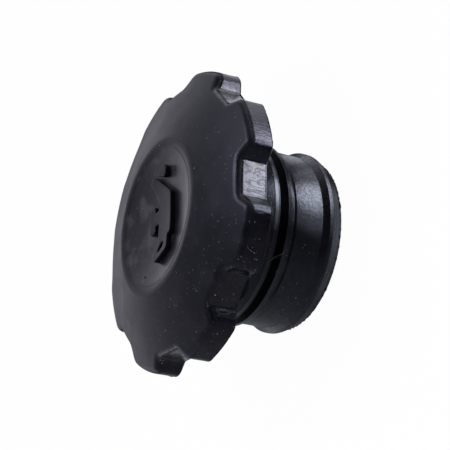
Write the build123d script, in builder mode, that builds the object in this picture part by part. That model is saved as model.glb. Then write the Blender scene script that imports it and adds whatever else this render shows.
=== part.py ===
from build123d import *
import os
from math import sqrt

# Oil filler cap: one black rubber moulding that is pushed into an engine's filler opening.
# The axis is Z. The cap stands on the open end of its plug at Z = 0, with the grip head on top.
# All sizes are millimetres.

os.makedirs("parts", exist_ok=True)

# Lengths along the plug, from its open end up to the head
end_taper_length = 3.1
crest_width = 0.9
crest_flank_length = 1.3
barrel_length = 6.8
relief_flank_length = 0.4
relief_width = 1.2
lip_flank_length = 0.3
lip_width = 0.9
seat_width = 2.0
collar_length = 9.3

# Radius of the plug's barrel, and how far the other rings stand above or below it
barrel_radius = 20.45
end_taper_depth = 1.55
crest_height = 1.1
relief_depth = 0.35
lip_height = 1.05
seat_depth = 2.25
collar_height = 0.85
collar_flare = 1.1

# Roundings of the plug
end_round = 0.8
crest_round = 0.4
crest_cove = 0.9
lip_round = 0.35
seat_round = 0.7
collar_round = 1.0
collar_root_round = 1.4

# Grip head: a lobed skirt under a spherical dome
head_radius = 35.0
skirt_height = 5.8
dome_radius = 90.0
border_round = 2.0
rim_round = 0.4

# Notches between the lobes
notch_count = 8
notch_depth = 3.6
notch_floor_width = 8.2
notch_flank_slope = 0.95
notch_corner_round = 1.2
lobe_corner_round = 2.8

# Dish in the middle of the dome: a shallow spherical bowl with a soft edge
dish_radius = 17.8
dish_depth = 2.1
dish_edge_round = 3.0

# Blind hollow inside the plug
plug_wall = 4.45
hollow_draft = 1.0
crown_thickness = 11.2
hollow_mouth_round = 0.8
hollow_end_round = 3.0

# Heights that follow from the lengths
crest_low_z = end_taper_length
crest_high_z = crest_low_z + crest_width
barrel_low_z = crest_high_z + crest_flank_length
barrel_high_z = barrel_low_z + barrel_length
relief_low_z = barrel_high_z + relief_flank_length
relief_high_z = relief_low_z + relief_width
lip_low_z = relief_high_z + lip_flank_length
lip_high_z = lip_low_z + lip_width
seat_high_z = lip_high_z + seat_width
rim_z = seat_high_z + collar_length
border_z = rim_z + skirt_height
dome_centre_z = border_z - sqrt(dome_radius**2 - head_radius**2)
dome_top_z = dome_centre_z + dome_radius
dish_edge_z = dome_centre_z + sqrt(dome_radius**2 - dish_radius**2)
dish_floor_z = dish_edge_z - dish_depth
hollow_end_z = dish_floor_z - crown_thickness

# Radii and widths that follow from the sizes above
crest_radius = barrel_radius + crest_height
end_radius = crest_radius - end_taper_depth
relief_radius = barrel_radius - relief_depth
lip_radius = barrel_radius + lip_height
seat_radius = barrel_radius - seat_depth
collar_low_radius = barrel_radius + collar_height
collar_high_radius = collar_low_radius + collar_flare
bowl_radius = (dish_radius**2 + dish_depth**2) / (2 * dish_depth)
hollow_mouth_radius = barrel_radius - plug_wall
hollow_end_radius = hollow_mouth_radius - hollow_draft
notch_floor = head_radius - notch_depth
notch_reach = head_radius + notch_depth
notch_mouth_width = notch_floor_width + 2 * notch_flank_slope * (notch_reach - notch_floor)
head_height = dome_top_z - rim_z
half_pitch = 180.0 / notch_count
match = 0.01

# Outline of the grip seen along the axis: a circle with rounded notches
with BuildSketch() as grip_outline:
    Circle(head_radius)
    with PolarLocations(0, notch_count, start_angle=half_pitch):
        Polygon(
            (notch_floor, -notch_floor_width / 2),
            (notch_floor, notch_floor_width / 2),
            (notch_reach, notch_mouth_width / 2),
            (notch_reach, -notch_mouth_width / 2),
            align=None,
            mode=Mode.SUBTRACT,
        )
    lobe_corners = grip_outline.vertices().filter_by(lambda v: Vector(v).length > head_radius - match)
    fillet(lobe_corners, lobe_corner_round)
    floor_corners = grip_outline.vertices().group_by(lambda v: Vector(v).length)[0]
    fillet(floor_corners, notch_corner_round)

# The whole moulding
with BuildPart() as cap:
    # Grip head: the lobed outline raised up to the dome, with its border and rim rounded
    with BuildSketch(Plane.XY.offset(rim_z)):
        add(grip_outline.sketch)
    extrude(amount=head_height)
    with Locations((0, 0, dome_centre_z)):
        Sphere(dome_radius, mode=Mode.INTERSECT)
    fillet(cap.faces().sort_by(Axis.Z)[-1].edges(), border_round)
    fillet(cap.faces().sort_by(Axis.Z)[0].edges(), rim_round)

    # Dish in the dome
    with Locations((0, 0, dish_floor_z + bowl_radius)):
        Sphere(bowl_radius, mode=Mode.SUBTRACT)
    dish_edges = cap.edges().filter_by(GeomType.CIRCLE).filter_by(lambda e: abs(e.radius - dish_radius) < match)
    fillet(dish_edges, dish_edge_round)

    # Plug: end taper, crest, barrel, relief, lip, seat groove and collar, turned about the axis
    with BuildSketch(Plane.XZ) as plug_section:
        with BuildLine():
            Polyline(
                (0, 0),
                (end_radius, 0),
                (crest_radius, crest_low_z),
                (crest_radius, crest_high_z),
                (barrel_radius, barrel_low_z),
                (barrel_radius, barrel_high_z),
                (relief_radius, relief_low_z),
                (relief_radius, relief_high_z),
                (lip_radius, lip_low_z),
                (lip_radius, lip_high_z),
                (seat_radius, lip_high_z),
                (seat_radius, seat_high_z),
                (collar_low_radius, seat_high_z),
                (collar_high_radius, rim_z),
                (0, rim_z),
                close=True,
            )
        make_face()
        corners = plug_section.vertices()
        fillet(corners.sort_by_distance((end_radius, 0))[0], end_round)
        fillet(corners.sort_by_distance((crest_radius, crest_low_z))[0], crest_round)
        fillet(corners.sort_by_distance((crest_radius, crest_high_z))[0], crest_round)
        fillet(corners.sort_by_distance((barrel_radius, barrel_low_z))[0], crest_cove)
        fillet(corners.sort_by_distance((relief_radius, relief_high_z))[0], lip_round)
        fillet(corners.sort_by_distance((lip_radius, lip_low_z))[0], lip_round)
        fillet(corners.sort_by_distance((lip_radius, lip_high_z))[0], lip_round)
        fillet(corners.sort_by_distance((seat_radius, lip_high_z))[0], seat_round)
        fillet(corners.sort_by_distance((seat_radius, seat_high_z))[0], seat_round)
        fillet(corners.sort_by_distance((collar_low_radius, seat_high_z))[0], collar_round)
    revolve(axis=Axis.Z)
    rim_circles = cap.edges().filter_by(GeomType.CIRCLE).filter_by(lambda e: abs(e.center().Z - rim_z) < match)
    fillet(rim_circles.filter_by(lambda e: abs(e.radius - collar_high_radius) < match), collar_root_round)

    # Blind hollow that lets the plug flex, open at its end
    with BuildSketch(Plane.XZ) as hollow_section:
        with BuildLine():
            Polyline(
                (0, 0),
                (hollow_mouth_radius, 0),
                (hollow_end_radius, hollow_end_z),
                (0, hollow_end_z),
                close=True,
            )
        make_face()
        hollow_corner = hollow_section.vertices().sort_by_distance((hollow_end_radius, hollow_end_z))[0]
        fillet(hollow_corner, hollow_end_round)
    revolve(axis=Axis.Z, mode=Mode.SUBTRACT)
    mouth_edges = cap.faces().sort_by(Axis.Z)[0].edges().sort_by(SortBy.RADIUS)
    fillet(mouth_edges[0], hollow_mouth_round)

cap.part.label = "cap"
export_step(cap.part, "parts/cap.step")
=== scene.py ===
import logging
import math
import random
from dataclasses import dataclass
from enum import Enum
from typing import Any, Callable, Optional, Sequence

import bmesh
import bpy
from bmesh.types import BMesh
from bpy.types import Material, Node, NodeSocket, NodeTree, Object
from mathutils import Matrix, Vector, noise
from mathutils.bvhtree import BVHTree


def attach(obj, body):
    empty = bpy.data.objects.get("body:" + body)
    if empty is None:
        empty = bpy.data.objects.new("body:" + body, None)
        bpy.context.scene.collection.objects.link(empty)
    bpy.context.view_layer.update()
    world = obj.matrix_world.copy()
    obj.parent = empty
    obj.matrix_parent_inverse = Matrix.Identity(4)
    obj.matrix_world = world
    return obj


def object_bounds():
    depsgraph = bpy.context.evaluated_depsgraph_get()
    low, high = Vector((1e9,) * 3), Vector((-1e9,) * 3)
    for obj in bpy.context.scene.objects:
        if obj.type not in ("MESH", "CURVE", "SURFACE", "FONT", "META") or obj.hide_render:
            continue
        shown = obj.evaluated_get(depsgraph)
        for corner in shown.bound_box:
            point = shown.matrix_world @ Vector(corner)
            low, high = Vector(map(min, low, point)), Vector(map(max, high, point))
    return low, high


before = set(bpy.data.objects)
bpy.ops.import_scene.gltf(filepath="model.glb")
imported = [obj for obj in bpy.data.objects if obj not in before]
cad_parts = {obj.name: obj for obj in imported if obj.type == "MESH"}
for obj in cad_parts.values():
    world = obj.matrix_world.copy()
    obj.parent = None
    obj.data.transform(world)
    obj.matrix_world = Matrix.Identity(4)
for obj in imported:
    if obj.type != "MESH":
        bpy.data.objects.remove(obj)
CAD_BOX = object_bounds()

# The looks of a black rubber oil filler cap, built around its solid model.
# Lengths named with _mm are millimetres; everything handed to Blender is metres.

LOG = logging.getLogger("oil_filler_cap")
MM = 0.001
IMAGE_SIDE = 450
CAP_NODE = "cap"
BODY = "root"
NUMBER = "NodeSocketFloat"
COLOUR = "NodeSocketColor"
VECTOR = "NodeSocketVector"
LEVEL_PLANE = (1.0, 1.0, 0.0)
WHITE = (1.0, 1.0, 1.0, 1.0)
RIDGE_CREST = 0.4
MIX_FIRST, MIX_SECOND, MIX_RESULT = 6, 7, 2

Colour = tuple[float, float, float, float]
Span = tuple[float, float]
Point2 = tuple[float, float]
Point3 = tuple[float, float, float]


class Skin(Enum):
    """Where a rubber finish is used, which sets how much of the region shading it carries."""

    MOULDING = "moulding"
    SIGN = "sign"
    DETAIL = "detail"


class Ray(Enum):
    """Outputs of the light path node by the kind of ray that they name."""

    CAMERA = "Is Camera Ray"
    GLOSSY = "Is Glossy Ray"
    TRANSMISSION = "Is Transmission Ray"


class NodeSheet:
    """Adds shader nodes to one tree and joins them."""

    def __init__(self, tree: NodeTree) -> None:
        """Keeps the tree that is filled and empties it."""
        self.tree = tree
        tree.nodes.clear()

    def put(self, kind: str, values: Optional[dict] = None, **settings: Any) -> Node:
        """Adds one node.

        Args:
            kind: Type name of the node without its ShaderNode prefix.
            values: Socket name or number to a constant or to the output socket that feeds it.
            **settings: Properties of the node.

        Returns:
            The new node.
        """
        name = kind if kind.startswith("Node") else "ShaderNode" + kind
        node = self.tree.nodes.new(name)
        for key, value in settings.items():
            setattr(node, key, value)
        for key, value in (values or {}).items():
            self.feed(node.inputs[key], value)
        return node

    def feed(self, socket: NodeSocket, value: Any) -> None:
        """Sets a socket to a constant, or links it where the value is another socket.

        Args:
            socket: The input socket.
            value: The constant, or the output socket that feeds it.
        """
        if isinstance(value, NodeSocket):
            self.tree.links.new(value, socket)
        else:
            socket.default_value = value

    def math(self, operation: str, *operands: Any, clamp: bool = False) -> NodeSocket:
        """Adds a math node for one to three numbers or sockets and returns the socket with the result."""
        values = dict(enumerate(operands))
        return self.put("Math", values, operation=operation, use_clamp=clamp).outputs[0]

    def vector(self, operation: str, *operands: Any) -> NodeSocket:
        """Adds a vector math node and returns its vector, or the value where it measures a length."""
        node = self.put("VectorMath", dict(enumerate(operands)), operation=operation)
        return node.outputs["Value" if operation == "LENGTH" else "Vector"]

    def span(self, value: Any, low: float, high: float, start: Any = 0.0, end: Any = 1.0) -> NodeSocket:
        """Maps a value smoothly from one span to another.

        Args:
            value: The value that is mapped.
            low: Value that gives start.
            high: Value that gives end.
            start: Result at low.
            end: Result at high.

        Returns:
            The socket with the result.
        """
        values = {"Value": value, "From Min": low, "From Max": high, "To Min": start, "To Max": end}
        return self.put("MapRange", values, interpolation_type="SMOOTHSTEP").outputs["Result"]

    def band(self, length: Any, limits_mm: Span, start: Any = 0.0, end: Any = 1.0) -> NodeSocket:
        """Maps a length smoothly between two limits and returns the socket with the result."""
        return self.span(length, limits_mm[0] * MM, limits_mm[1] * MM, start, end)

    def noise(self, vector: Any, scale: Any, detail: float = 2.0, distortion: float = 0.0) -> NodeSocket:
        """Adds a noise texture and returns its value socket."""
        values = {"Vector": vector, "Scale": scale, "Detail": detail, "Distortion": distortion}
        return self.put("TexNoise", values).outputs[0]

    def mix(self, share: Any, first: Any, second: Any) -> NodeSocket:
        """Mixes two colours.

        Args:
            share: Share of the second colour.
            first: Colour, or socket with it.
            second: Colour, or socket with it.

        Returns:
            The socket with the mixed colour.
        """
        node = self.put("Mix", data_type="RGBA")
        self.feed(node.inputs[0], share)
        self.feed(node.inputs[MIX_FIRST], first)
        self.feed(node.inputs[MIX_SECOND], second)
        return node.outputs[MIX_RESULT]


class MaterialSheet(NodeSheet):
    """The node sheet of a new material."""

    def __init__(self, name: str) -> None:
        """Makes the material.

        Args:
            name: Name of the material.
        """
        self.material = bpy.data.materials.new(name)
        self.material.use_nodes = True
        super().__init__(self.material.node_tree)

    def close(self, shader: Node) -> Material:
        """Joins the last shader to the output and returns the material."""
        self.feed(self.put("OutputMaterial").inputs["Surface"], shader.outputs[0])
        return self.material


def shader_group(name: str, inputs: dict, outputs: dict, fill: Callable) -> NodeTree:
    """Makes a shader node group with named sockets, once.

    Args:
        name: Name of the group.
        inputs: Socket name to socket type and default value.
        outputs: Socket name to socket type.
        fill: Called with the sheet and the input node; returns output name to socket.

    Returns:
        The group's node tree.
    """
    found = bpy.data.node_groups.get(name)
    if found:
        return found
    tree = bpy.data.node_groups.new(name, "ShaderNodeTree")
    sheet = NodeSheet(tree)
    for key, (kind, value) in inputs.items():
        socket = tree.interface.new_socket(name=key, in_out="INPUT", socket_type=kind)
        if value is not None:
            socket.default_value = value
    for key, kind in outputs.items():
        tree.interface.new_socket(name=key, in_out="OUTPUT", socket_type=kind)
    source = sheet.put("NodeGroupInput")
    target = sheet.put("NodeGroupOutput")
    for key, socket in fill(sheet, source).items():
        sheet.feed(target.inputs[key], socket)
    return tree


@dataclass(frozen=True)
class MouldedSkin:
    """Skin of moulded rubber: fine grain, wrinkles along the axis, slow mottling and scribbled wear."""

    depth: float = 0.00001
    grain_scale: float = 1900.0
    wrinkle_scale: float = 900.0
    mottle_scale: float = 140.0
    scribble_scale: float = 520.0
    detail: float = 3.0
    mottle_detail: float = 4.0
    wrinkle_swirl: float = 2.0
    mottle_swirl: float = 0.4
    scribble_swirl: float = 1.2
    stretch: Point3 = (1.0, 1.0, 0.3)
    middle: float = 0.5
    contours: float = 6.0
    contour_edge: Span = (0.05, 0.35)

    def group(self) -> NodeTree:
        """Makes the shader node group and returns its node tree."""
        return shader_group(
            "moulded_skin",
            {
                "Position": (VECTOR, None),
                "Grain Scale": (NUMBER, self.grain_scale),
                "Grain Depth": (NUMBER, self.depth),
                "Wrinkle Scale": (NUMBER, self.wrinkle_scale),
                "Wrinkle Depth": (NUMBER, self.depth),
                "Mottle Scale": (NUMBER, self.mottle_scale),
                "Scribble Scale": (NUMBER, self.scribble_scale),
            },
            {"Height": NUMBER, "Grain": NUMBER, "Mottle": NUMBER, "Scribble": NUMBER},
            self.fill,
        )

    def fill(self, sheet: NodeSheet, source: Node) -> dict:
        """Joins the nodes of the group.

        Args:
            sheet: The group's node sheet.
            source: The group's input node.

        Returns:
            Output name to the socket that feeds it.
        """
        given = source.outputs
        place = given["Position"]
        stretched = sheet.vector("MULTIPLY", place, self.stretch)
        grain = sheet.noise(place, given["Grain Scale"], self.detail)
        wrinkle = sheet.noise(stretched, given["Wrinkle Scale"], self.detail, self.wrinkle_swirl)
        mottle = sheet.noise(place, given["Mottle Scale"], self.mottle_detail, self.mottle_swirl)
        drawn = sheet.noise(stretched, given["Scribble Scale"], self.detail, self.scribble_swirl)
        fine = sheet.math("MULTIPLY", sheet.math("SUBTRACT", grain, self.middle), given["Grain Depth"])
        folds = sheet.math("MULTIPLY", sheet.math("SUBTRACT", wrinkle, self.middle), given["Wrinkle Depth"])
        levels = sheet.math("FRACT", sheet.math("MULTIPLY", drawn, self.contours))
        off_line = sheet.math("ABSOLUTE", sheet.math("SUBTRACT", levels, self.middle))
        scribble = sheet.span(off_line, *self.contour_edge, 1.0, 0.0)
        height = sheet.math("ADD", fine, folds)
        return {"Height": height, "Grain": grain, "Mottle": mottle, "Scribble": scribble}


@dataclass(frozen=True)
class SettledDust:
    """Dust on rubber: single fine specks and a thin film in patches."""

    rubber: Colour = (0.01, 0.01, 0.012, 1.0)
    dust: Colour = (0.2, 0.19, 0.18, 1.0)
    speck_scale: float = 1500.0
    speck_share: float = 0.05
    speck_edge: Span = (0.10, 0.22)
    film: float = 0.03
    patch_scale: float = 260.0
    patch_detail: float = 5.0
    patch_swirl: float = 0.5
    patch_edge: Span = (0.45, 0.75)

    def group(self) -> NodeTree:
        """Makes the shader node group and returns its node tree."""
        return shader_group(
            "settled_dust",
            {
                "Position": (VECTOR, None),
                "Rubber": (COLOUR, self.rubber),
                "Dust": (COLOUR, self.dust),
                "Speck Scale": (NUMBER, self.speck_scale),
                "Speck Share": (NUMBER, self.speck_share),
                "Film": (NUMBER, self.film),
            },
            {"Color": COLOUR, "Mask": NUMBER},
            self.fill,
        )

    def fill(self, sheet: NodeSheet, source: Node) -> dict:
        """Joins the nodes of the group.

        Args:
            sheet: The group's node sheet.
            source: The group's input node.

        Returns:
            Output name to the socket that feeds it.
        """
        given = source.outputs
        place = given["Position"]
        cells = sheet.put("TexVoronoi", {"Vector": place, "Scale": given["Speck Scale"]})
        chance = sheet.put("SeparateColor", {0: cells.outputs["Color"]}).outputs[0]
        kept = sheet.math("LESS_THAN", chance, given["Speck Share"])
        near = sheet.span(cells.outputs["Distance"], *self.speck_edge, 1.0, 0.0)
        specks = sheet.math("MULTIPLY", near, kept)
        cloud = sheet.noise(place, self.patch_scale, self.patch_detail, self.patch_swirl)
        film = sheet.math("MULTIPLY", sheet.span(cloud, *self.patch_edge), given["Film"])
        mask = sheet.math("MAXIMUM", specks, film, clamp=True)
        return {"Color": sheet.mix(mask, given["Rubber"], given["Dust"]), "Mask": mask}


@dataclass(frozen=True)
class RubberFinish:
    """Black moulded rubber, matt on the dome and smoother elsewhere, with a thin oily film in places."""

    name: str
    skin: Skin
    tint: Colour = (0.0030, 0.0032, 0.0052, 1.0)
    worn_tint: Colour = (0.0052, 0.0051, 0.0077, 1.0)
    # Near-black base colour of the sign's steep walls: painted shade.
    painted_wall_shade: Colour = (0.0008, 0.0008, 0.0012, 1.0)
    dust: Colour = (0.16, 0.155, 0.15, 1.0)
    sheen_tint: Colour = (0.80, 0.81, 1.0, 1.0)
    refraction: float = 1.5
    matt: float = 0.36
    satin: float = 0.20
    uneven: float = 0.07
    dusty: float = 0.4
    film: float = 0.03
    dish_film: float = 0.20
    speck_share: float = 0.05
    grain_depth: float = 0.000014
    plug_grain_depth: float = 0.00006
    wrinkle_depth: float = 0.00007
    notch_wrinkle_depth: float = 0.00010
    oil_gloss: float = 0.14
    plug_oil: float = 0.8
    plug_oil_least: float = 0.16
    notch_oil: float = 0.75
    notch_oil_lost: float = 0.5625
    dish_oil: float = 0.5
    dish_oil_least: float = 0.3
    detail_oil: float = 0.0
    collar_oil_share: float = 0.35
    end_oil_share: float = 0.4
    worn_mottle: Span = (0.35, 0.7)
    oil_mottle: Span = (0.3, 0.7)
    oil_grain: Span = (0.38, 0.62)
    dome_facing: Span = (0.45, 0.9)
    sign_facing: Span = (0.35, 0.75)
    rim_mm: Span = (25.8, 26.4)
    notch_mm: Span = (31.8, 33.0)
    dish_mm: Span = (15.0, 17.2)
    collar_mm: Span = (16.5, 17.2)
    lip_top_mm: Span = (15.0, 16.0)
    lip_foot_mm: Span = (13.6, 13.9)
    end_mm: Span = (2.8, 3.6)

    def build(self) -> Material:
        """Builds the node material.

        Returns:
            The material.
        """
        sheet = MaterialSheet(self.name)
        place = sheet.put("TexCoord").outputs["Object"]
        skin = sheet.put("Group", {"Position": place}, node_tree=MouldedSkin().group())
        dust = sheet.put("Group", {"Position": place}, node_tree=SettledDust().group())
        smooth, oil = self.matt, self.detail_oil
        if self.skin is Skin.MOULDING:
            smooth, oil = self.regions(sheet, place, skin, dust)
        else:
            skin.inputs["Grain Depth"].default_value = self.grain_depth
            skin.inputs["Wrinkle Depth"].default_value = 0.0
            dust.inputs["Film"].default_value = self.film
        mottle = sheet.span(skin.outputs["Mottle"], *self.worn_mottle)
        rubber = sheet.mix(mottle, self.tint, self.worn_tint)
        # On the sign, the steep walls blend to a near-black base colour: painted shade for the deep walls.
        # The tops keep the rubber's colour and its dust.
        if self.skin is Skin.SIGN:
            top = sheet.span(self.facing(sheet), *self.sign_facing)
            sheet.feed(dust.inputs["Film"], sheet.math("MULTIPLY", top, self.film))
            rubber = sheet.mix(top, self.painted_wall_shade, rubber)
        sheet.feed(dust.inputs["Rubber"], rubber)
        dust.inputs["Dust"].default_value = self.dust
        dust.inputs["Speck Share"].default_value = self.speck_share
        mottled = sheet.math("MULTIPLY_ADD", mottle, self.uneven, smooth)
        roughness = sheet.math("MULTIPLY_ADD", dust.outputs["Mask"], self.dusty, mottled)
        bump = sheet.put("Bump", {"Strength": 1.0, "Distance": 1.0, "Height": skin.outputs["Height"]})
        shader = sheet.put(
            "BsdfPrincipled",
            {
                "Base Color": dust.outputs["Color"],
                "Roughness": roughness,
                "Normal": bump.outputs["Normal"],
                "Coat Weight": oil,
                "Coat Roughness": self.oil_gloss,
                "Specular Tint": self.sheen_tint,
                "IOR": self.refraction,
            },
        )
        return sheet.close(shader)

    def facing(self, sheet: NodeSheet) -> NodeSocket:
        """Adds the upward part of the surface's normal and returns its socket."""
        return sheet.put("SeparateXYZ", {0: sheet.put("TexCoord").outputs["Normal"]}).outputs["Z"]

    def regions(self, sheet: NodeSheet, place: NodeSocket, skin: Node, dust: Node) -> tuple:
        """Sets what differs between the dome, its dish, the grip's wall, its notches and the plug.

        Args:
            sheet: The material's node sheet.
            place: Socket with the position.
            skin: The skin group's node.
            dust: The dust group's node.

        Returns:
            The sockets with the roughness before mottling and dust, and with the oily film.
        """
        height = sheet.put("SeparateXYZ", {0: place}).outputs["Z"]
        radius = sheet.vector("LENGTH", sheet.vector("MULTIPLY", place, LEVEL_PLANE))
        dome = sheet.span(self.facing(sheet), *self.dome_facing)
        above = sheet.band(height, self.rim_mm)
        below = sheet.math("SUBTRACT", 1.0, above)
        wall = sheet.math("MULTIPLY", above, sheet.math("SUBTRACT", 1.0, dome))
        notch = sheet.math("MULTIPLY", wall, sheet.band(radius, self.notch_mm, 1.0, 0.0))
        dish = sheet.math("MULTIPLY", above, sheet.band(radius, self.dish_mm, 1.0, 0.0))
        folds = sheet.band(radius, self.notch_mm, self.notch_wrinkle_depth, self.wrinkle_depth)
        finer = self.grain_depth - self.plug_grain_depth
        grain = sheet.math("MULTIPLY_ADD", above, finer, self.plug_grain_depth)
        film = sheet.math("MULTIPLY_ADD", dish, self.dish_film, self.film)
        sheet.feed(skin.inputs["Wrinkle Depth"], sheet.math("MULTIPLY", wall, folds))
        sheet.feed(skin.inputs["Grain Depth"], grain)
        sheet.feed(dust.inputs["Film"], film)
        marbled = sheet.math("MULTIPLY_ADD", skin.outputs["Scribble"], -self.notch_oil_lost, self.notch_oil)
        clouded = sheet.span(skin.outputs["Mottle"], *self.oil_mottle, self.dish_oil_least, self.dish_oil)
        oil = sheet.math("MULTIPLY", below, self.plug_film(sheet, height, skin))
        oil = sheet.math("MULTIPLY_ADD", notch, marbled, oil)
        oil = sheet.math("MULTIPLY_ADD", dish, clouded, oil)
        return sheet.math("MULTIPLY_ADD", dome, self.matt - self.satin, self.satin), oil

    def plug_film(self, sheet: NodeSheet, height: NodeSocket, skin: Node) -> NodeSocket:
        """Oily film of the plug: speckled, thinner on the collar and at the end, unbroken on the lip.

        Args:
            sheet: The material's node sheet.
            height: Socket with the height above the plug's end.
            skin: The skin group's node.

        Returns:
            The socket with the film.
        """
        specks = sheet.span(skin.outputs["Grain"], *self.oil_grain, self.plug_oil_least, self.plug_oil)
        collar = sheet.band(height, self.collar_mm, 1.0, self.collar_oil_share)
        end = sheet.band(height, self.end_mm, self.end_oil_share, 1.0)
        lip_top = sheet.band(height, self.lip_top_mm, 1.0, 0.0)
        lip = sheet.math("MULTIPLY", sheet.band(height, self.lip_foot_mm), lip_top)
        thinned = sheet.math("MULTIPLY", specks, sheet.math("MULTIPLY", collar, end))
        return sheet.math("MAXIMUM", thinned, lip)


@dataclass(frozen=True)
class LooseFinish:
    """A matt finish with slow colour changes, for dust flakes, fibres and the dark fleck of painted shade
    that stands for a pit.
    """

    name: str
    dark: Colour
    light: Colour
    roughness: float = 0.85
    scale: float = 900.0
    shift: Span = (0.35, 0.65)

    def build(self) -> Material:
        """Builds the node material.

        Returns:
            The material.
        """
        sheet = MaterialSheet(self.name)
        place = sheet.put("TexCoord").outputs["Object"]
        share = sheet.span(sheet.noise(place, self.scale), *self.shift)
        colour = sheet.mix(share, self.dark, self.light)
        shader = sheet.put("BsdfPrincipled", {"Base Color": colour, "Roughness": self.roughness})
        return sheet.close(shader)


class SurfaceFinder:
    """Finds points on the cap's own surface, so that details sit on it."""

    def __init__(self, node: Object) -> None:
        """Builds the search tree.

        Args:
            node: The solid model's object.
        """
        points = [vertex.co.copy() for vertex in node.data.vertices]
        faces = [tuple(polygon.vertices) for polygon in node.data.polygons]
        self.tree = BVHTree.FromPolygons(points, faces)
        self.reach = max(CAD_BOX[1]) * 2

    def below(self, x: float, y: float) -> tuple[Vector, Vector]:
        """Point and normal met by a ray straight down at a place."""
        point, normal, _, _ = self.tree.ray_cast(Vector((x, y, self.reach)), Vector((0.0, 0.0, -1.0)))
        return point, normal

    def inward(self, azimuth: float, height: float) -> tuple[Vector, Vector]:
        """Point and normal met by a level ray towards the axis.

        Args:
            azimuth: Angle about the axis in radians.
            height: Height above the plug's end.

        Returns:
            The point and the normal.
        """
        outward = direction(azimuth)
        start = outward * self.reach + Vector((0.0, 0.0, height))
        point, normal, _, _ = self.tree.ray_cast(start, -outward)
        return point, normal

    def nearest(self, point: Vector) -> tuple[Vector, Vector]:
        """Nearest point of the surface and its normal."""
        found, normal, _, _ = self.tree.find_nearest(point)
        return found, normal


def around(steps: int) -> list[float]:
    """Angles in radians that divide a full turn evenly."""
    return [2 * math.pi * step / steps for step in range(steps)]


def direction(azimuth: float) -> Vector:
    """Level direction at an angle about the axis, of length 1."""
    return Vector((math.cos(azimuth), math.sin(azimuth), 0.0))


def closed_loft(rings: Sequence[Sequence[Vector]], round_trip: bool) -> BMesh:
    """Joins rings of points into one closed surface.

    Args:
        rings: The rings in order, each with as many points.
        round_trip: Whether the last ring joins the first; otherwise both ends are capped.

    Returns:
        The geometry.
    """
    build = bmesh.new()
    rows = [[build.verts.new(point) for point in ring] for ring in rings]
    pairs = list(zip(rows, rows[1:]))
    if round_trip:
        pairs.append((rows[-1], rows[0]))
    for first, second in pairs:
        for index in range(len(first)):
            after = (index + 1) % len(first)
            build.faces.new((first[index], first[after], second[after], second[index]))
    if not round_trip:
        build.faces.new(rows[0])
        build.faces.new(rows[-1])
    return build


def ridge_section(
    seat: Vector, across: Vector, out: Vector, half_mm: float, height_mm: float
) -> tuple[Vector, Vector, Vector, Vector]:
    """Section of a raised line: a foot sunk into the surface and a narrower crest.

    Args:
        seat: Point of the surface under the line.
        across: A millimetre across the line.
        out: A millimetre out of the surface.
        half_mm: Half the line's width, and how deep its foot is sunk.
        height_mm: How far its crest stands out.

    Returns:
        The corners of the section in order.
    """
    foot, crest = seat - out * half_mm, seat + out * height_mm
    side = across * half_mm
    return foot - side, foot + side, crest + side * RIDGE_CREST, crest - side * RIDGE_CREST


def add_piece(
    name: str, build: BMesh, material: Material, sharp_deg: float = 40.0
) -> Object:
    """Turns a bmesh into a smooth shaded piece that rides on the cap.

    Args:
        name: Name of the piece.
        build: Its geometry, in metres in the part's frame, which is freed.
        material: Its material.
        sharp_deg: Edges sharper than this stay sharp.

    Returns:
        The piece.
    """
    bmesh.ops.recalc_face_normals(build, faces=build.faces)
    mesh = bpy.data.meshes.new(name)
    build.to_mesh(mesh)
    build.free()
    mesh.shade_smooth()
    mesh.set_sharp_from_angle(angle=math.radians(sharp_deg))
    mesh.materials.append(material)
    piece = bpy.data.objects.new(name, mesh)
    bpy.context.scene.collection.objects.link(piece)
    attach(piece, BODY)
    LOG.info("%s: %d faces", name, len(mesh.polygons))
    return piece


@dataclass
class Moulding:
    """The rubber moulding itself: the solid model's own shape with a finish."""

    finish: RubberFinish

    def dress(self) -> Object:
        """Gives the solid model's node its rubber.

        Returns:
            The node's object.
        """
        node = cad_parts[CAP_NODE]
        node.data.materials.clear()
        node.data.materials.append(self.finish.build())
        for polygon in node.data.polygons:
            polygon.material_index = 0
        LOG.info("%s: %d faces", node.name, len(node.data.polygons))
        return node


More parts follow.
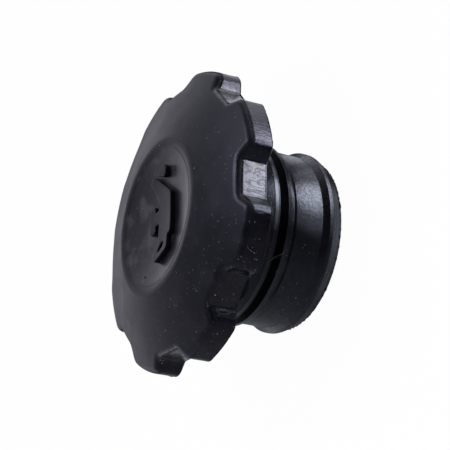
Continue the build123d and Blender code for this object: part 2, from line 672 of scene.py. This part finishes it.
@dataclass
class DishSign:
    """A raised oil can with a falling drop, a plain sign for engine oil, in the dish of the head."""

    surface: SurfaceFinder
    finish: RubberFinish
    centre_mm: Point2 = (1.2, 0.3)
    turn_deg: float = 116.0
    relief_mm: float = 1.3
    root_mm: float = 0.4
    edge_round_mm: float = 0.16
    edge_steps: int = 2
    corner_round_mm: float = 0.55
    corner_share: float = 0.45
    corner_steps: int = 4
    longest_edge_mm: float = 0.9
    weld_mm: float = 0.0001
    drop_centre_mm: Point2 = (10.2, -2.6)
    drop_radius_mm: float = 1.4
    drop_tip: float = 2.4
    drop_start_deg: float = 150.0
    drop_sweep_deg: float = 240.0
    drop_steps: int = 12

    def can_outline(self) -> Sequence[Point2]:
        """Outline of the can with spout, lid and handle, along the reading direction and up."""
        return (
            (-5.8, -5.4), (4.2, -5.4), (10.6, 2.6), (9.2, 4.0), (4.4, 0.9), (1.6, 0.9), (1.6, 2.7),
            (3.3, 2.7), (3.3, 4.9), (-3.3, 4.9), (-3.3, 2.7), (-1.6, 2.7), (-1.6, 0.9), (-5.8, 0.9),
            (-8.8, 3.2), (-11.0, 1.6), (-9.3, -4.1), (-5.8, -4.1),
        )

    def handle_hole(self) -> Sequence[Point2]:
        """Outline of the hole in the handle."""
        return ((-6.9, -0.8), (-8.6, 0.6), (-9.0, 0.1), (-8.0, -2.3), (-6.9, -2.3))

    def drop_outline(self) -> Sequence[Point2]:
        """Outline of the oil drop: a round foot that runs up to a point.

        Returns:
            The outline's points in order.
        """
        across, up = self.drop_centre_mm
        radius = self.drop_radius_mm
        points = [(across, up + self.drop_tip * radius)]
        for step in range(self.drop_steps + 1):
            turn = math.radians(self.drop_start_deg + self.drop_sweep_deg * step / self.drop_steps)
            points.append((across + radius * math.cos(turn), up + radius * math.sin(turn)))
        return points

    def rounded(self, corners: Sequence[Point2]) -> Sequence[Point2]:
        """Rounds the corners of an outline.

        Args:
            corners: The outline's corners in order.

        Returns:
            The outline with an arc of short edges at each corner.
        """
        points = []
        for index, corner in enumerate(corners):
            here = Vector(corner)
            before = Vector(corners[index - 1]) - here
            after = Vector(corners[(index + 1) % len(corners)]) - here
            reach = min(self.corner_round_mm, self.corner_share * min(before.length, after.length))
            start, end = here + before.normalized() * reach, here + after.normalized() * reach
            for step in range(self.corner_steps + 1):
                share = step / self.corner_steps
                points.append(tuple(start.lerp(here, share).lerp(here.lerp(end, share), share)))
        return points

    def flat_solid(self) -> BMesh:
        """Makes the sign as a level solid with rounded upper edges.

        Returns:
            The geometry in millimetres, standing on its root.
        """
        curve = bpy.data.curves.new("sign_outline", "CURVE")
        curve.dimensions = "2D"
        curve.fill_mode = "BOTH"
        half = (self.relief_mm + self.root_mm) / 2
        curve.bevel_depth = self.edge_round_mm
        curve.bevel_resolution = self.edge_steps
        curve.offset = -self.edge_round_mm
        curve.extrude = half - self.edge_round_mm
        outlines = (self.rounded(self.can_outline()), self.rounded(self.handle_hole()), self.drop_outline())
        for outline in outlines:
            spline = curve.splines.new("POLY")
            spline.points.add(len(outline) - 1)
            for point, (across, up) in zip(spline.points, outline):
                point.co = (across, up, 0.0, 1.0)
            spline.use_cyclic_u = True
        holder = bpy.data.objects.new("sign_outline", curve)
        build = bmesh.new()
        flat = bpy.data.meshes.new_from_object(holder)
        build.from_mesh(flat)
        bpy.data.objects.remove(holder)
        bpy.data.curves.remove(curve)
        bpy.data.meshes.remove(flat)
        bmesh.ops.remove_doubles(build, verts=build.verts, dist=self.weld_mm)
        bmesh.ops.translate(build, verts=build.verts, vec=(0.0, 0.0, half))
        return build

    def build(self) -> Object:
        """Lays the sign into the dish.

        Returns:
            The sign.
        """
        build = self.flat_solid()
        while True:
            long_edges = [edge for edge in build.edges if edge.calc_length() > self.longest_edge_mm]
            if not long_edges:
                break
            bmesh.ops.subdivide_edges(build, edges=long_edges, cuts=1)
            bmesh.ops.triangulate(build, faces=[face for face in build.faces if len(face.verts) > 4])
        turn = math.radians(self.turn_deg)
        across, up = Vector((math.cos(turn), math.sin(turn))), Vector((-math.sin(turn), math.cos(turn)))
        for vertex in build.verts:
            spot = (Vector(self.centre_mm) + across * vertex.co.x + up * vertex.co.y) * MM
            seat, _ = self.surface.below(spot.x, spot.y)
            vertex.co = (spot.x, spot.y, seat.z + (vertex.co.z - self.root_mm) * MM)
        return add_piece("dish_sign", build, self.finish.build())


@dataclass
class DishLine:
    """The fine raised line where the mould's dish insert met the dome."""

    surface: SurfaceFinder
    finish: RubberFinish
    radius_mm: float = 16.1
    centre_mm: Point2 = (-0.3, 0.0)
    half_mm: float = 0.11
    height_mm: float = 0.05
    steps: int = 360

    def build(self) -> Object:
        """Runs the line around the dish.

        Returns:
            The line.
        """
        rings = []
        for azimuth in around(self.steps):
            outward = direction(azimuth) * MM
            spot = outward * self.radius_mm + Vector((*self.centre_mm, 0.0)) * MM
            seat, normal = self.surface.below(spot.x, spot.y)
            rings.append(ridge_section(seat, outward, normal * MM, self.half_mm, self.height_mm))
        return add_piece("dish_line", closed_loft(rings, True), self.finish.build())


@dataclass
class RimFlash:
    """The thin ragged fin that the mould's parting line leaves around the grip's rim."""

    surface: SurfaceFinder
    finish: RubberFinish
    height_mm: float = 26.55
    root_mm: float = 0.2
    root_half_mm: float = 0.11
    tip_half_mm: float = 0.03
    least_mm: float = 0.03
    most_mm: float = 0.32
    steps: int = 1440
    coarse: float = 9.0
    coarse_share: float = 0.6
    fine: float = 42.0
    fine_share: float = 0.4
    lift: float = 0.15
    flap_azimuth_deg: float = -21.0
    flap_half_width_deg: float = 5.0
    flap_reach_mm: float = 0.9
    flap_droop_mm: float = 0.35

    def reach(self, azimuth: float) -> float:
        """How far the fin stands out.

        Args:
            azimuth: Angle about the axis in radians.

        Returns:
            The reach in millimetres.
        """
        spot = direction(azimuth)
        coarse, fine = noise.noise(spot * self.coarse), noise.noise(spot * self.fine)
        ragged = self.coarse_share * coarse + self.fine_share * fine
        return self.least_mm + self.most_mm * max(0.0, ragged + self.lift)

    def flap(self, azimuth: float) -> float:
        """Share of the torn flap behind one notch at an angle, from 0 to 1."""
        away = (math.degrees(azimuth) - self.flap_azimuth_deg + 180.0) % 360.0 - 180.0
        return max(0.0, 1.0 - (away / self.flap_half_width_deg) ** 2)

    def build(self) -> Object:
        """Runs the fin around the rim.

        Returns:
            The fin.
        """
        rings = []
        for azimuth in around(self.steps):
            rim, _ = self.surface.inward(azimuth, self.height_mm * MM)
            outward = Vector((rim.x, rim.y, 0.0)).normalized() * MM
            up = Vector((0.0, 0.0, MM))
            flap = self.flap(azimuth)
            reach = self.reach(azimuth) + flap * self.flap_reach_mm
            tip = rim + outward * reach - up * flap * self.flap_droop_mm
            root = rim - outward * self.root_mm
            rings.append((
                root + up * self.root_half_mm, tip + up * self.tip_half_mm,
                tip - up * self.tip_half_mm, root - up * self.root_half_mm,
            ))
        return add_piece("rim_flash", closed_loft(rings, True), self.finish.build())


@dataclass
class PlugMarks:
    """Fine moulding lines around the plug, a worn step on its collar and the ragged edge of its end."""

    surface: SurfaceFinder
    finish: RubberFinish
    collar_lines_mm: Sequence[float] = (18.5, 19.05, 19.65, 20.3)
    taper_lines_mm: Sequence[float] = (1.05, 2.05, 2.8)
    line_half_mm: float = 0.09
    line_height_mm: float = 0.045
    step_high_mm: float = 18.25
    step_low_mm: float = 17.35
    step_height_mm: float = 0.09
    step_foot_mm: float = 0.02
    step_root_mm: float = 0.2
    end_edge_mm: float = 0.5
    end_half_mm: float = 0.09
    end_least_mm: float = 0.04
    end_most_mm: float = 0.3
    end_lift: float = 0.2
    ragged: float = 30.0
    steps: int = 360

    def ring(self, height_mm: float, half_mm: float, reach: Callable) -> BMesh:
        """Makes one raised line around the plug.

        Args:
            height_mm: Height of the line above the plug's end.
            half_mm: Half its width.
            reach: Gives how far it stands out, in millimetres, at an angle.

        Returns:
            The geometry.
        """
        rings = []
        for azimuth in around(self.steps):
            seat, normal = self.surface.inward(azimuth, height_mm * MM)
            along = Vector((-math.sin(azimuth), math.cos(azimuth), 0.0)).cross(normal).normalized() * MM
            rings.append(ridge_section(seat, along, normal * MM, half_mm, reach(azimuth)))
        return closed_loft(rings, True)

    def collar_step(self) -> BMesh:
        """Makes the leaning step along the collar's lower edge, which catches the light.

        Returns:
            The geometry.
        """
        rings = []
        for azimuth in around(self.steps):
            out = direction(azimuth) * MM
            high, _ = self.surface.inward(azimuth, self.step_high_mm * MM)
            low, _ = self.surface.inward(azimuth, self.step_low_mm * MM)
            rings.append((
                high - out * self.step_root_mm, high + out * self.step_height_mm,
                low + out * self.step_foot_mm, low - out * self.step_root_mm,
            ))
        return closed_loft(rings, True)

    def ragged_reach(self, azimuth: float) -> float:
        """How far the ragged end edge stands out at an angle, in millimetres."""
        spot = Vector((math.cos(azimuth), math.sin(azimuth), 1.0)) * self.ragged
        return self.end_least_mm + self.end_most_mm * max(0.0, noise.noise(spot) + self.end_lift)

    def build(self) -> Sequence[Object]:
        """Builds the lines, the step and the end's edge.

        Returns:
            The pieces.
        """
        material = self.finish.build()
        pieces = []
        for label, heights in (("collar_line", self.collar_lines_mm), ("taper_line", self.taper_lines_mm)):
            for number, height in enumerate(heights, 1):
                name = f"{label}_{number}"
                line = self.ring(height, self.line_half_mm, lambda azimuth: self.line_height_mm)
                pieces.append(add_piece(name, line, material))
        pieces.append(add_piece("collar_step", self.collar_step(), material))
        edge = self.ring(self.end_edge_mm, self.end_half_mm, self.ragged_reach)
        pieces.append(add_piece("end_flash", edge, material))
        return pieces


@dataclass
class DirtAndPaintedPitShade:
    """Dust flakes, a lint fibre and a hair that lie on the cap, and one dark fleck in the dish that is
    painted shade for a small pit.
    """

    surface: SurfaceFinder
    flake_finish: LooseFinish
    fibre_finish: LooseFinish
    pit_shade_finish: LooseFinish
    seed: int = 5
    flake_count: int = 1400
    flake_least_mm: float = 0.02
    flake_most_mm: float = 0.115
    flake_jitter_mm: float = 1.0
    flake_stretch: Sequence[Span] = ((0.7, 1.5), (0.7, 1.1), (0.35, 0.7))
    flake_rough: Span = (0.75, 1.2)
    flake_sharp_deg: float = 20.0
    least_upward: float = -0.3
    top_upward: float = 0.5
    wall_share: float = 0.45
    near_gain: float = 80.0
    near_side: float = 0.6
    fibre_radius_mm: float = 0.028
    fibre_end_share: float = 0.4
    fibre_sharp_deg: float = 80.0
    fibre_sides: int = 6
    fibre_steps: int = 10
    lint_mm: Sequence[Point3] = (
        (34.9, -1.6, 30.2), (34.9, -2.0, 30.8), (34.9, -2.6, 30.4), (34.9, -2.9, 29.8), (34.9, -3.2, 29.0),
    )
    hair_mm: Sequence[Point3] = (
        (21.2, -5.1, 18.3), (21.1, -4.1, 17.2), (21.2, -3.2, 16.1), (21.5, -2.3, 14.9), (20.9, -1.3, 13.4),
    )
    # A near-black fleck in the dish: painted shade where a small pit is.
    pit_shade_mm: Point2 = (-0.3, -14.0)
    pit_shade_radius_mm: float = 0.3

    def build(self) -> Sequence[Object]:
        """Builds the flakes, the fibres and the dark fleck of painted pit shade.

        Returns:
            The pieces.
        """
        fibre = self.fibre_finish.build()
        pieces = [self.flakes(self.flake_finish.build())]
        for name, points in (("lint_fibre", self.lint_mm), ("groove_hair", self.hair_mm)):
            pieces.append(add_piece(name, self.fibre(points), fibre, sharp_deg=self.fibre_sharp_deg))
        pieces.append(self.grain(self.pit_shade_finish.build()))
        return pieces

    def flakes(self, material: Material) -> Object:
        """Scatters the flakes over the cap, more of them on the lower near side of the head.

        Args:
            material: Their material.

        Returns:
            The flakes as one piece.
        """
        draw = random.Random(self.seed)
        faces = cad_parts[CAP_NODE].data.polygons
        weights = [face.area * self.share(face.center, face.normal) for face in faces]
        build = bmesh.new()
        for face in draw.choices(list(faces), weights, k=self.flake_count):
            size = draw.triangular(self.flake_least_mm, self.flake_most_mm, self.flake_least_mm) * MM
            apart = self.flake_jitter_mm
            jitter = Vector([draw.uniform(-apart, apart) for _ in range(3)]) * MM
            seat, normal = self.surface.nearest(face.center + jitter)
            self.flake(build, seat, normal, size, draw)
        return add_piece("dust_flakes", build, material, sharp_deg=self.flake_sharp_deg)

    def share(self, centre: Vector, normal: Vector) -> float:
        """How much dust lies at a place.

        Args:
            centre: The place.
            normal: The surface's normal there.

        Returns:
            The weight of the place, 0 where no dust lies.
        """
        if normal.z < self.least_upward:
            return 0.0
        near = 1.0 + self.near_gain * max(0.0, centre.x - self.near_side * centre.y)
        return near * (1.0 if normal.z > self.top_upward else self.wall_share)

    def flake(self, build: BMesh, seat: Vector, normal: Vector, size: float, draw: random.Random) -> None:
        """Adds one flake: a small uneven lump pressed flat on the surface.

        Args:
            build: The geometry that it joins.
            seat: Its place on the surface.
            normal: The surface's normal there.
            size: Its radius.
            draw: The source of chance.
        """
        lump = bmesh.ops.create_icosphere(build, subdivisions=1, radius=size)["verts"]
        turn = normal.to_track_quat("Z", "Y").to_matrix()
        stretch = Vector([draw.uniform(*limits) for limits in self.flake_stretch])
        for vertex in lump:
            rough = vertex.co * draw.uniform(*self.flake_rough)
            vertex.co = seat + turn @ Vector([a * b for a, b in zip(rough, stretch)])

    def fibre(self, points_mm: Sequence[Point3]) -> BMesh:
        """Makes a thin round fibre through some points.

        Args:
            points_mm: The points that it passes.

        Returns:
            The geometry.
        """
        line = self.smooth_line([Vector(point) * MM for point in points_mm])
        rings = []
        for index, spot in enumerate(line):
            ahead = line[min(index + 1, len(line) - 1)] - line[max(index - 1, 0)]
            axes = ahead.to_track_quat("Z", "Y").to_matrix()
            ends = min(index, len(line) - 1 - index)
            radius = self.fibre_radius_mm * MM * (self.fibre_end_share if ends == 0 else 1.0)
            rings.append([spot + axes @ direction(turn) * radius for turn in around(self.fibre_sides)])
        return closed_loft(rings, False)

    def smooth_line(self, points: Sequence[Vector]) -> list[Vector]:
        """Passes a smooth line through points.

        Args:
            points: The points in order.

        Returns:
            Points along the line, close together.
        """
        held = [2 * points[0] - points[1], *points, 2 * points[-1] - points[-2]]
        line = []
        for a, b, c, d in zip(held, held[1:], held[2:], held[3:]):
            for step in range(self.fibre_steps):
                t = step / self.fibre_steps
                bend = (2 * a - 5 * b + 4 * c - d) * t * t + (3 * b - a - 3 * c + d) * t * t * t
                line.append((2 * b + (c - a) * t + bend) * 0.5)
        line.append(points[-1])
        return line

    def grain(self, material: Material) -> Object:
        """Sets a dark fleck into the dish: painted shade where a small pit is.

        Args:
            material: Its material.

        Returns:
            The dark fleck.
        """
        draw = random.Random(self.seed + 1)
        build = bmesh.new()
        seat, normal = self.surface.below(self.pit_shade_mm[0] * MM, self.pit_shade_mm[1] * MM)
        self.flake(build, seat, normal, self.pit_shade_radius_mm * MM, draw)
        return add_piece("painted_pit_shade", build, material, sharp_deg=self.flake_sharp_deg)


@dataclass
class PhotoCamera:
    """The camera at the photograph's viewing angle."""

    focal_px: float = 1519.9
    tilt_deg: float = 61.44
    roll_deg: float = 78.25
    distance_mm: float = 358.9
    axis_px: Point2 = (281.66, 242.70)
    aim_height_mm: float = 4.0
    sensor_mm: float = 36.0
    clip: Span = (0.01, 50.0)

    def build(self) -> Object:
        """Makes the camera and sets it as the scene's camera.

        Returns:
            The camera.
        """
        tilt, roll = math.radians(self.tilt_deg), math.radians(self.roll_deg)
        back = Vector((math.sin(tilt), 0.0, math.cos(tilt)))
        rise = Vector((-math.cos(tilt), 0.0, math.sin(tilt)))
        side = rise.cross(back)
        right = side * math.cos(roll) - rise * math.sin(roll)
        up = side * math.sin(roll) + rise * math.cos(roll)
        place = back * self.distance_mm * MM + Vector((0.0, 0.0, self.aim_height_mm * MM))
        across = (IMAGE_SIDE / 2 - self.axis_px[0]) / self.focal_px
        down = (IMAGE_SIDE / 2 - self.axis_px[1]) / self.focal_px
        back = (back - right * across + up * down).normalized()
        right = (right - back * right.dot(back)).normalized()
        up = back.cross(right)
        camera = bpy.data.objects.new("photo_camera", bpy.data.cameras.new("photo_camera"))
        camera.data.sensor_width = self.sensor_mm
        camera.data.lens = self.focal_px / IMAGE_SIDE * self.sensor_mm
        camera.data.clip_start, camera.data.clip_end = self.clip
        axes = Matrix((right, up, back)).transposed().to_4x4()
        camera.matrix_world = Matrix.Translation(place) @ axes
        bpy.context.scene.collection.objects.link(camera)
        bpy.context.scene.camera = camera
        LOG.info("camera: lens %.0f mm", camera.data.lens)
        return camera


@dataclass
class SoftLamp:
    """A rectangular soft lamp."""

    name: str
    place_mm: Point3
    size_mm: Point2
    radiance: float
    aim_mm: Point3 = (0.0, 0.0, 20.0)
    colour: Point3 = (0.99, 0.97, 1.09)
    in_reflections: bool = True

    def build(self) -> Object:
        """Makes the lamp, unseen by the camera.

        Returns:
            The lamp.
        """
        light = bpy.data.lights.new(self.name, "AREA")
        light.shape = "RECTANGLE"
        light.size, light.size_y = self.size_mm[0] * MM, self.size_mm[1] * MM
        light.energy = self.radiance * math.pi * light.size * light.size_y
        light.color = self.colour
        lamp = bpy.data.objects.new(self.name, light)
        bpy.context.scene.collection.objects.link(lamp)
        place, aim = Vector(self.place_mm) * MM, Vector(self.aim_mm) * MM
        lamp.location = place
        lamp.rotation_mode = "QUATERNION"
        lamp.rotation_quaternion = (aim - place).to_track_quat("-Z", "Y")
        lamp.visible_camera = False
        lamp.visible_glossy = self.in_reflections
        return lamp


@dataclass(frozen=True)
class FloorGlow:
    """A bright patch with soft edges on the table mat, which shows in the cap's gloss."""

    centre_mm: Point2
    reach_mm: Point2
    level: float


@dataclass
class Studio:
    """White floor, a mat with bright patches on it, a light tent with a dark front, and soft lamps."""

    tent_radius: float = 4.0
    tent_sides: int = 48
    tent_rings: int = 24
    tent_foot: float = -0.01
    disc_sides: int = 96
    floor_drop: float = 0.0004
    mat_drop: float = 0.0002
    paper: Colour = (0.9, 0.9, 0.9, 1.0)
    white_share: float = 0.97
    far_glow: float = 0.20
    far_low_glow: float = 0.90
    lit_low_glow: float = 1.0
    shade_glow: float = 0.20
    least_glow: float = 0.02
    low_power: float = 3.0
    mat_glow: float = 0.17
    mat_least: float = 0.03
    mat_edge: Point2 = (0.02, -0.03)
    glow_core: float = 0.3
    glow_edge: float = 1.3
    sky_colour: Colour = (0.99, 0.97, 1.09, 1.0)
    cool_glow: Colour = (0.93, 0.99, 1.12, 1.0)
    warm_glow: Colour = (1.02, 0.99, 1.03, 1.0)
    warm_from: Point2 = (0.075, 0.100)

    def build(self) -> None:
        """Builds the floor, the tent, its table mat and the lamps."""
        self.build_world()
        floor = self.disc("floor", -self.floor_drop, self.floor_material())
        mat = self.disc("table_mat", -self.mat_drop, self.mat_material())
        mat.visible_camera = mat.visible_diffuse = mat.visible_shadow = False
        tent = self.tent(self.tent_material())
        tent.visible_camera = tent.visible_shadow = False
        for lamp in self.lamps():
            lamp.build()
        LOG.info("studio: floor, tent and %d lamps", len(self.lamps()))

    def lamps(self) -> Sequence[SoftLamp]:
        """The lamps: a long soft box above the lit side, a small one behind it and a plain fill."""
        return (
            SoftLamp("overhead", (-130, 590, 1370), (800, 480), 5.0),
            SoftLamp("rear_side", (-750, 750, 1061), (570, 530), 0.6),
            SoftLamp("fill", (500, -300, 900), (800, 800), 3.8, in_reflections=False),
        )

    def glows(self) -> Sequence[FloorGlow]:
        """The bright patches on the mat: near the plug, on the lit side and far behind the cap."""
        return (
            FloorGlow((22, 25.5), (9, 11), 5.0),
            FloorGlow((30, 16), (9, 9), 0.8),
            FloorGlow((19, 9), (8, 11), 0.5),
            FloorGlow((21, -3), (5, 12), 0.25),
            FloorGlow((10, 30), (10, 9), 0.7),
            FloorGlow((-8, 30), (9, 11), 0.55),
            FloorGlow((68, 51), (17, 15), 9.5),
            FloorGlow((71, 48), (5, 4), 6.0),
            FloorGlow((50, 77), (17, 18), 11.0),
            FloorGlow((34, 61), (10, 9), 3.6),
            FloorGlow((0, 100), (50, 45), 1.5),
            FloorGlow((-42, 70), (25, 25), 0.9),
            FloorGlow((-100, 230), (120, 110), 0.6),
            FloorGlow((-900, 200), (600, 450), 0.9),
            FloorGlow((-40, -75), (35, 30), 0.3),
        )

    def build_world(self) -> None:
        """Sets a plain white world, which only the camera meets beyond the tent."""
        world = bpy.data.worlds.new("white")
        world.use_nodes = True
        sheet = NodeSheet(world.node_tree)
        light = sheet.put("Background", {"Color": WHITE, "Strength": 1.0})
        sheet.feed(sheet.put("OutputWorld").inputs["Surface"], light.outputs[0])
        bpy.context.scene.world = world

    def disc(self, name: str, height: float, material: Material) -> Object:
        """Makes a round level plate as wide as the tent.

        Args:
            name: Its name.
            height: Its height.
            material: Its material.

        Returns:
            The plate.
        """
        build = bmesh.new()
        bmesh.ops.create_circle(build, cap_ends=True, segments=self.disc_sides, radius=self.tent_radius)
        bmesh.ops.translate(build, verts=build.verts, vec=(0.0, 0.0, height))
        return self.stage_object(name, build, material)

    def tent(self, material: Material) -> Object:
        """Makes the upper half of a sphere as the tent.

        Args:
            material: Its material.

        Returns:
            The tent.
        """
        build = bmesh.new()
        sides, rings = self.tent_sides, self.tent_rings
        bmesh.ops.create_uvsphere(build, u_segments=sides, v_segments=rings, radius=self.tent_radius)
        low = [vertex for vertex in build.verts if vertex.co.z < self.tent_foot]
        bmesh.ops.delete(build, geom=low, context="VERTS")
        return self.stage_object("light_tent", build, material)

    def stage_object(self, name: str, build: BMesh, material: Material) -> Object:
        """Turns a bmesh into an object of the stage.

        Args:
            name: Its name.
            build: Its geometry, which is freed.
            material: Its material.

        Returns:
            The object.
        """
        mesh = bpy.data.meshes.new(name)
        build.to_mesh(mesh)
        build.free()
        mesh.materials.append(material)
        made = bpy.data.objects.new(name, mesh)
        bpy.context.scene.collection.objects.link(made)
        return made

    def floor_material(self) -> Material:
        """White floor that keeps a faint shadow, and lets the camera look through from below.

        Returns:
            The material.
        """
        sheet = MaterialSheet("white_floor")
        path = sheet.put("LightPath")
        rays = sheet.math("ADD", path.outputs[Ray.CAMERA.value], path.outputs[Ray.GLOSSY.value])
        rays = sheet.math("ADD", rays, path.outputs[Ray.TRANSMISSION.value], clamp=True)
        share = sheet.math("MULTIPLY", rays, self.white_share)
        paper = sheet.put("BsdfDiffuse", {"Color": self.paper})
        white = sheet.put("Emission", {"Color": WHITE, "Strength": 1.0})
        lit = sheet.put("MixShader", {0: share, 1: paper.outputs[0], 2: white.outputs[0]})
        behind = sheet.put("NewGeometry").outputs["Backfacing"]
        clear = sheet.put("BsdfTransparent")
        both = sheet.put("MixShader", {0: behind, 1: lit.outputs[0], 2: clear.outputs[0]})
        return sheet.close(both)

    def tent_material(self) -> Material:
        """Glow of the tent: dark towards the camera, brighter far away and low on the lit side.

        Returns:
            The material.
        """
        sheet = MaterialSheet("tent_glow")
        place = sheet.put("TexCoord").outputs["Object"]
        ahead = sheet.vector("NORMALIZE", place)
        axes = sheet.put("SeparateXYZ", {0: ahead})
        away = sheet.math("MAXIMUM", sheet.math("MULTIPLY", axes.outputs["X"], -1.0), 0.0)
        lit = sheet.math("MAXIMUM", axes.outputs["Y"], 0.0)
        shade = sheet.math("MAXIMUM", sheet.math("MULTIPLY", axes.outputs["Y"], -1.0), 0.0)
        low = sheet.math("POWER", sheet.math("SUBTRACT", 1.0, axes.outputs["Z"]), self.low_power)
        far = sheet.math("MULTIPLY_ADD", low, self.far_low_glow, self.far_glow)
        level = sheet.math("MULTIPLY_ADD", shade, self.shade_glow, self.least_glow)
        level = sheet.math("MULTIPLY_ADD", far, away, level)
        lit_low = sheet.math("MULTIPLY", sheet.math("MULTIPLY", lit, lit), low)
        level = sheet.math("MULTIPLY_ADD", lit_low, self.lit_low_glow, level)
        glow = sheet.put("Emission", {"Color": self.sky_colour, "Strength": level})
        return sheet.close(glow)

    def mat_material(self) -> Material:
        """Glow of the mat and of the bright patches on it, which only the cap's gloss shows.

        Returns:
            The material.
        """
        sheet = MaterialSheet("mat_glow")
        place = sheet.put("TexCoord").outputs["Object"]
        side = sheet.put("SeparateXYZ", {0: place}).outputs["Y"]
        level = sheet.span(side, *self.mat_edge, self.mat_least, self.mat_glow)
        for glow in self.glows():
            level = sheet.math("ADD", level, self.patch(sheet, place, glow))
        away = sheet.vector("LENGTH", place)
        colour = sheet.mix(sheet.span(away, *self.warm_from), self.cool_glow, self.warm_glow)
        shine = sheet.put("Emission", {"Color": colour, "Strength": level})
        return sheet.close(shine)

    def patch(self, sheet: NodeSheet, place: Any, glow: FloorGlow) -> NodeSocket:
        """Level of one bright patch over the mat.

        Args:
            sheet: The mat's node sheet.
            place: Socket with the position.
            glow: The patch.

        Returns:
            The socket with its level.
        """
        centre = (glow.centre_mm[0] * MM, glow.centre_mm[1] * MM, -self.mat_drop)
        scale = (1.0 / (glow.reach_mm[0] * MM), 1.0 / (glow.reach_mm[1] * MM), 0.0)
        share = sheet.vector("MULTIPLY", sheet.vector("SUBTRACT", place, centre), scale)
        away = sheet.vector("LENGTH", share)
        return sheet.span(away, self.glow_core, self.glow_edge, glow.level, 0.0)


def main() -> None:
    """Builds the part's pieces in order, then the studio around it."""
    logging.basicConfig(level=logging.INFO, format="%(message)s")
    bpy.context.scene.view_settings.view_transform = "Standard"
    PhotoCamera().build()
    node = Moulding(RubberFinish("moulding_rubber", Skin.MOULDING)).dress()
    surface = SurfaceFinder(node)
    DishSign(surface, RubberFinish("sign_rubber", Skin.SIGN)).build()
    # The dish line's heavy dust film is partly dust and partly a painted highlight along the dish's edge.
    DishLine(surface, RubberFinish("dish_line_dust_and_highlight", Skin.DETAIL, film=0.6)).build()
    RimFlash(surface, RubberFinish("rim_flash_rubber", Skin.DETAIL, matt=0.7)).build()
    PlugMarks(surface, RubberFinish("plug_mark_rubber", Skin.DETAIL, matt=0.2, detail_oil=0.7)).build()
    DirtAndPaintedPitShade(
        surface,
        LooseFinish("dust_flake", dark=(0.05, 0.047, 0.042, 1.0), light=(0.40, 0.38, 0.355, 1.0)),
        LooseFinish("pale_fibre", dark=(0.08, 0.072, 0.066, 1.0), light=(0.20, 0.185, 0.17, 1.0)),
        # Near-black fleck: painted shade of a small pit.
        LooseFinish("painted_pit_shade", dark=(0.003, 0.003, 0.004, 1.0), light=(0.010, 0.010, 0.012, 1.0)),
    ).build()
    Studio().build()


if __name__ == "__main__":
    main()
